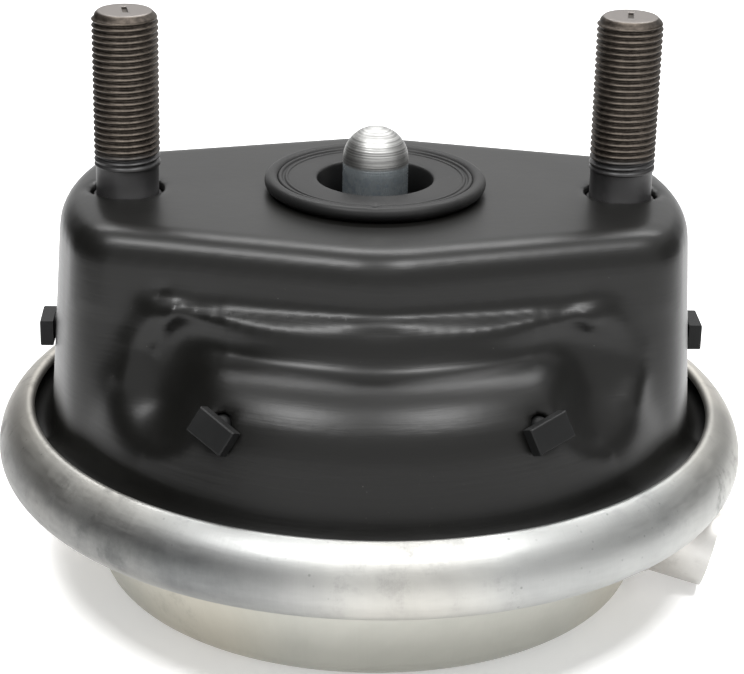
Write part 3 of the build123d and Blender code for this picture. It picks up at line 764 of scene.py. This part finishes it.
def makeRod():
    r = rod
    domeAt = r["tip"] - r["r"]
    waist = math.degrees(math.asin(r["neck"] / r["ball"]))
    section = arc((0, r["ballAt"]), r["ball"], -90, 90 - waist, 30)
    section += [(r["neck"], r["cone"]), (r["r"] - 0.1, r["cone"] + r["coneEnd"][0]),
                (r["r"], r["cone"] + r["coneEnd"][1])]
    section += [(r["r"], z) for z in r["levels"]]
    rows = r["shankRows"]
    shank = [(r["r"], domeAt - r["shankRings"] * (1 - i / rows)) for i in range(rows + 1)]
    dome = arc((0, domeAt), r["r"], 0, r["domeTo"], r["domeRows"])[1:]
    along = 0.0
    grooved = []
    last = shank[0]
    for point in shank + dome:
        along += math.dist(last, point)
        last = point
        wave = 0.5 - 0.5 * math.cos(2 * math.pi * along / r["ringPitch"])
        uneven = 0.55 + 0.45 * noise.noise(Vector((along * 0.9, 3.1, 0.0)))
        fadeIn = min(1.0, along / r["fadeAlong"]) * min(1.0, point[0] / r["fadeRadius"])
        cut = r["ringDepth"] * wave ** 3 * uneven * fadeIn
        outward = Vector((point[0], point[1] - domeAt)).normalized() if point[1] > domeAt else Vector((1, 0))
        grooved.append((point[0] - outward.x * cut, point[1] - outward.y * cut))
    section += grooved + [(0, r["tip"])]
    piece = emptyPiece("rodBody", rodSteel)
    shape = bmesh.new()
    latheSection(shape, inMetres(section), r["steps"])
    fill(piece, shape)
    standFor(piece, "push_rod", "rod")


makeRod()
print("seal and rod made")


# Air port: threaded bore and the weld that holds the boss on the cup

port = {"azimuth": -11.5, "tilt": 13.0, "endR": 88.1, "endZ": -87.505, "minor": 7.2, "major": 8.0, "pitch": 1.5,
        "thread": 12.4, "beyond": 0.6, "mouth": 8.5, "sides": 64, "rowsPerPitch": 8, "crestShare": 0.12,
        "flankShare": 0.76}


def portFrame():
    turn, tilt = math.radians(port["azimuth"]), math.radians(port["tilt"])
    outward = Vector((math.cos(turn) * math.cos(tilt), math.sin(turn) * math.cos(tilt), -math.sin(tilt)))
    side = Vector((-math.sin(turn), math.cos(turn), 0))
    end = Vector((math.cos(turn) * port["endR"], math.sin(turn) * port["endR"], port["endZ"])) * mm
    return Matrix.Translation(end) @ Matrix((side, outward.cross(side), outward)).transposed().to_4x4()


def makePort():
    t = port
    piece = copyOf("port_boss", "portBody", portZinc)
    cutter = emptyPiece("portTap", portZinc)
    rows = int((t["thread"] + t["beyond"]) / t["pitch"] * t["rowsPerPitch"])
    heights = [-t["thread"] + (t["thread"] + t["beyond"]) * i / rows for i in range(rows + 1)]
    section = [(0, heights[0])] + [(t["major"], z) for z in heights] + [(0, heights[-1])]
    shape = bmesh.new()
    latheSection(shape, inMetres(section), t["sides"])
    for v in shape.verts:
        radius = math.hypot(v.co.x, v.co.y)
        if radius > 1 * mm:
            cut = clipped((threadFlank(v.co, t["pitch"] * mm) - t["crestShare"]) / t["flankShare"])
            wanted = t["major"] - (t["major"] - t["minor"]) * cut
            wanted = max(wanted, t["mouth"] + v.co.z / mm)
            v.co.x *= wanted * mm / radius
            v.co.y *= wanted * mm / radius
    shape.transform(portFrame())
    fill(cutter, shape)
    cutAway(piece, cutter)
    sharpen(piece, 35)
    standFor(piece, "port_boss")


weld = {"radius": 12.5, "bead": 2.1, "ripples": 26, "steps": 208, "sides": 18, "castFrom": 4, "castMiss": 24}


def makeWeld():
    # A bead of overlapping ripples where the boss meets the cup's wall
    w = weld
    cup = copyOf("pressure_cup", "cupToCast", cupZinc)
    faces = [tuple(face.vertices) for face in cup.data.polygons]
    wall = BVHTree.FromPolygons([v.co for v in cup.data.vertices], faces)
    bpy.data.objects.remove(cup)
    place = portFrame()
    outward = place.to_3x3() @ Vector((0, 0, 1))
    shape = bmesh.new()
    rings = []
    for i in range(w["steps"]):
        angle = 2 * math.pi * i / w["steps"]
        spoke = place.to_3x3() @ Vector((math.cos(angle), math.sin(angle), 0))
        start = place.translation + spoke * w["radius"] * mm + outward * w["castFrom"] * mm
        hit = wall.ray_cast(start, -outward)[0] or start - outward * w["castMiss"] * mm
        ripple = (i / w["steps"] * w["ripples"]) % 1.0
        uneven = noise.noise(Vector((i * 0.21, 5.0, 0.0)))
        girth = w["bead"] * (0.86 + 0.16 * math.sqrt(1 - ripple) + 0.07 * uneven)
        turns = [2 * math.pi * k / w["sides"] for k in range(w["sides"])]
        rings.append([shape.verts.new(hit + (spoke * math.cos(b) + outward * math.sin(b)) * girth * mm)
                      for b in turns])
    for first, second in zip(rings, rings[1:] + rings[:1]):
        for k in range(w["sides"]):
            after = (k + 1) % w["sides"]
            shape.faces.new((first[k], first[after], second[after], second[k]))
    piece = fill(emptyPiece("portWeld", weldZinc), shape)
    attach(piece, "chamber")


makePort()
makeWeld()
print("port made")


# Drain caps: heads laid on the leaning wall

cap = {"depth": 36.5, "seat": 75.8, "wallR": 74.25, "lean": 22.0, "stemR": 3.3, "stemLength": 1.5,
       "azimuths": {"drain_cap_back_right": 60, "drain_cap_back_left": 120, "drain_cap_front_left": 240,
                    "drain_cap_front_right": 300}}


def makeCap(node, azimuth):
    turn = math.radians(azimuth)
    outward = Vector((math.cos(turn), math.sin(turn), 0))
    side = Vector((-math.sin(turn), math.cos(turn), 0))
    piece = copyOf(node, node.replace("drain_cap", "capSkin"), capPlastic)
    pivot = outward * cap["wallR"] * mm - Vector((0, 0, cap["depth"] * mm))
    inward = Matrix.Translation(outward * (cap["wallR"] - cap["seat"]) * mm)
    lean = Matrix.Rotation(math.radians(-cap["lean"]), 4, side)
    leaned = Matrix.Translation(pivot) @ lean @ Matrix.Translation(-pivot) @ inward
    for v in piece.data.vertices:
        along = v.co.dot(outward) / mm
        across = math.hypot(v.co.dot(side), v.co.z + cap["depth"] * mm) / mm
        if along > cap["seat"] + 0.05 and (across > cap["stemR"] or along > cap["seat"] + cap["stemLength"]):
            v.co = leaned @ v.co
    sharpen(piece, 30)
    standFor(piece, node)


for node, azimuth in cap["azimuths"].items():
    makeCap(node, azimuth)
print("caps made")


# Pieces copied in place of the parts that change length with the stroke, left as they are: piece, finish, slot, and
# the heights between which the part stretches

stretch = {"return_spring": ("springCoil", wire, "spring_steel", -10.4, -88.5),
           "rod_bellows": ("bellowsSkin", blackRubber, "rubber", -15.5, -75.5),
           "diaphragm": ("diaphragmSkin", blackRubber, "rubber", -66.5, -91.5)}


def makeStretching():
    for node, (name, material, slotName, start, end) in stretch.items():
        piece = copyOf(node, name, material)
        sharpen(piece, 40)
        start * mm
        end * mm
        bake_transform(piece)
        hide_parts(node)


makeStretching()
print("stretching pieces made")


# Floor, light, camera

studio = {"floorDrop": 0.0002, "floorSize": 8.0, "floorShade": 0.90, "floorGlow": 0.32,
          "worldForLight": 0.42, "worldSeen": 1.0, "lampTarget": (0, 0, -0.03),
          "back": {"at": (0.05, 0.95, 1.45), "size": (2.2, 0.22), "power": 30},
          "frontLeft": {"at": (-0.64, -0.62, 1.62), "size": (0.46, 0.30), "power": 21},
          "frontRight": {"at": (0.52, -0.62, 1.65), "size": (0.46, 0.30), "power": 21},
          "leftFlag": {"x": -0.42, "y": (-0.45, 0.65), "rise": 0.72, "shade": 0.015},
          "rightFlag": {"x": 0.60, "y": (-0.25, 0.85), "rise": 0.42, "shade": 0.16}}


def makeFloor():
    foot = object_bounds()[0][2]
    piece = emptyPiece("studioFloor", floorPaint())
    shape = bmesh.new()
    bmesh.ops.create_grid(shape, x_segments=1, y_segments=1, size=studio["floorSize"] / 2)
    bmesh.ops.translate(shape, vec=(0, 0, foot - studio["floorDrop"]), verts=shape.verts)
    shape.to_mesh(piece.data)
    shape.free()
    piece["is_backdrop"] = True


def floorPaint():
    p = Paint("floorPaint", roughness=0.9, specular=0.1)
    p.shader.inputs["Base Color"].default_value = (*[studio["floorShade"]] * 3, 1)
    path = p.node("LightPath", {}, {}, "Is Camera Ray")
    glossy = p.node("LightPath", {}, {}, "Is Glossy Ray")
    passing = p.node("LightPath", {}, {}, "Is Transmission Ray")
    seen = (path + glossy + passing).clamped()
    glow = p.node("Emission", {}, {"Color": (1, 1, 1, 1), "Strength": studio["floorGlow"]})
    white = p.node("AddShader", {}, {0: Wire(p, p.shader.outputs[0]), 1: glow})
    mixed = p.node("MixShader", {}, {0: seen, 1: Wire(p, p.shader.outputs[0]), 2: white})
    output = next(n for n in p.tree.nodes if n.type == "OUTPUT_MATERIAL")
    p.tree.links.new(mixed.socket, output.inputs["Surface"])
    return p.material


def makeWorld():
    world = bpy.data.worlds.new("studioWorld")
    world.use_nodes = True
    bpy.context.scene.world = world
    tree = world.node_tree
    background = next(n for n in tree.nodes if n.type == "BACKGROUND")
    output = next(n for n in tree.nodes if n.type == "OUTPUT_WORLD")
    background.inputs["Color"].default_value = (1, 1, 1, 1)
    background.inputs["Strength"].default_value = studio["worldForLight"]
    seen = tree.nodes.new("ShaderNodeBackground")
    seen.inputs["Color"].default_value = (1, 1, 1, 1)
    seen.inputs["Strength"].default_value = studio["worldSeen"]
    path = tree.nodes.new("ShaderNodeLightPath")
    either = path.outputs["Is Camera Ray"]
    for name in ("Is Glossy Ray", "Is Transmission Ray"):
        add = tree.nodes.new("ShaderNodeMath")
        add.operation = "ADD"
        add.use_clamp = True
        tree.links.new(either, add.inputs[0])
        tree.links.new(path.outputs[name], add.inputs[1])
        either = add.outputs[0]
    mix = tree.nodes.new("ShaderNodeMixShader")
    tree.links.new(either, mix.inputs[0])
    tree.links.new(background.outputs[0], mix.inputs[1])
    tree.links.new(seen.outputs[0], mix.inputs[2])
    tree.links.new(mix.outputs[0], output.inputs["Surface"])


def makeLamp(name, setting):
    lamp = bpy.data.lights.new(name, "AREA")
    lamp.shape = "RECTANGLE"
    lamp.size, lamp.size_y = setting["size"]
    lamp.energy = setting["power"]
    holder = bpy.data.objects.new(name, lamp)
    holder.location = setting["at"]
    aim = Vector(studio["lampTarget"]) - Vector(setting["at"])
    holder.rotation_euler = aim.to_track_quat("-Z", "Y").to_euler()
    bpy.context.scene.collection.objects.link(holder)


def makeFlag(name, flag):
    # Dark card beside the object, seen only in reflections
    p = Paint(name + "Card", roughness=0.9, specular=0.0)
    p.shader.inputs["Base Color"].default_value = (*[flag["shade"]] * 3, 1)
    piece = emptyPiece(name, p.material)
    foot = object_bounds()[0][2]
    shape = bmesh.new()
    corners = [(flag["x"], flag["y"][i], foot + j * flag["rise"])
               for i, j in ((0, 0), (1, 0), (1, 1), (0, 1))]
    shape.faces.new([shape.verts.new(corner) for corner in corners])
    shape.to_mesh(piece.data)
    shape.free()
    piece.visible_camera = False
    piece.visible_shadow = False
    piece.visible_diffuse = False
    piece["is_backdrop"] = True


def makeCamera():
    view = {"right": (0.9991, -0.0357, 0.0212), "up": (-0.0061, 0.3774, 0.9260), "ahead": (0.0410, 0.9254, -0.3769),
            "at": (-23.2048 * mm, -559.8402 * mm, 185.417 * mm), "focal": 2404.6, "centre": (377.98, 350.07),
            "frame": (744, 674), "sensor": 36.0}
    lens = bpy.data.cameras.new("viewCamera")
    lens.sensor_fit = "HORIZONTAL"
    lens.sensor_width = view["sensor"]
    lens.lens = view["focal"] * view["sensor"] / view["frame"][0]
    lens.shift_x = (view["frame"][0] / 2 - view["centre"][0]) / view["frame"][0]
    lens.shift_y = (view["centre"][1] - view["frame"][1] / 2) / view["frame"][0]
    lens.clip_start = 0.01
    camera = bpy.data.objects.new("viewCamera", lens)
    right, up, ahead = (Vector(view[k]) for k in ("right", "up", "ahead"))
    turn = Matrix((right, up, -ahead)).transposed()
    camera.matrix_world = Matrix.Translation(view["at"]) @ turn.to_4x4()
    bpy.context.scene.collection.objects.link(camera)
    bpy.context.scene.camera = camera


makeFloor()
makeWorld()
for name, key in (("backStrip", "back"), ("frontLeftBox", "frontLeft"), ("frontRightBox", "frontRight")):
    makeLamp(name, studio[key])
for name in ("leftFlag", "rightFlag"):
    makeFlag(name, studio[name])
makeCamera()
bpy.context.scene.view_settings.view_transform = "Standard"
print("studio made")
